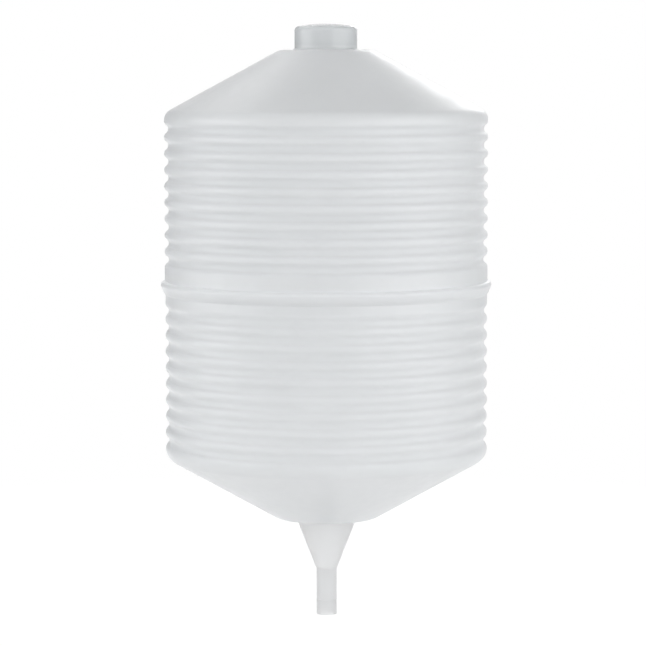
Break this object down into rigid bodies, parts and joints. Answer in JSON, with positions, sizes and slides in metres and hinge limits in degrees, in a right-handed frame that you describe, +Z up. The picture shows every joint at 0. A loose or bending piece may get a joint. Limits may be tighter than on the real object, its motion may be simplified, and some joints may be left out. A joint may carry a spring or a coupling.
{
  "type": "buchner funnel",
  "caption": "Closed ribbed filter funnel in two shells over a perforated plate, with a screw-capped neck and a conical drain stem.",
  "frame": {"origin": "centre of the drain stem's lower end, which is the bottom centre of the bounding box", "axes": "+Z up along the common axis of the stem, shells, plate, neck and cap"},
  "size_m": [0.2256, 0.2256, 0.4046],
  "materials": {
    "natural_polyethylene": "natural translucent satin",
    "clear_stem_plastic": "natural translucent, smooth",
    "cap_plastic": "natural translucent satin",
    "white_plastic": "opaque satin",
    "silicone_rubber": "soft matt",
    "foam_liner": "soft foamed sheet",
    "filter_paper": "uncoated"
  },
  "bodies": {
    "vessel": {"lower_section": "natural_polyethylene", "drain_stem": "clear_stem_plastic", "support_ring": "white_plastic", "plate_seal": "silicone_rubber", "body_seal": "silicone_rubber"},
    "upper": {"upper_section": "natural_polyethylene"},
    "plate": {"filter_plate": "white_plastic"},
    "paper": {"filter_paper": "filter_paper"},
    "ring": {"paper_ring": "white_plastic"},
    "liner": {"cap_liner": "foam_liner"},
    "cap": {"screw_cap": "cap_plastic"}
  },
  "joints": [
    {"name": "upper_lift", "type": "slide", "parent": "vessel", "child": "upper", "axis": [0, 0, 1], "range_m": [0, 0.12]},
    {"name": "plate_lift", "type": "slide", "parent": "vessel", "child": "plate", "axis": [0, 0, 1], "range_m": [0, 0.05]},
    {"name": "paper_lift", "type": "slide", "parent": "plate", "child": "paper", "axis": [0, 0, 1], "range_m": [0, 0.02]},
    {"name": "ring_lift", "type": "slide", "parent": "paper", "child": "ring", "axis": [0, 0, 1], "range_m": [0, 0.02]},
    {"name": "cap_rise", "type": "slide", "parent": "upper", "child": "liner", "axis": [0, 0, 1], "range_m": [0, 0.0053]},
    {"name": "cap_turn", "type": "hinge", "parent": "liner", "child": "cap", "pos_m": [0, 0, 0.3947], "axis": [0, 0, 1], "range_deg": [0, 450]}
  ],
  "couplings": [
    {"joint": "cap_rise", "follows": "cap_turn", "m_per_rad": 0.00066845}
  ]
}
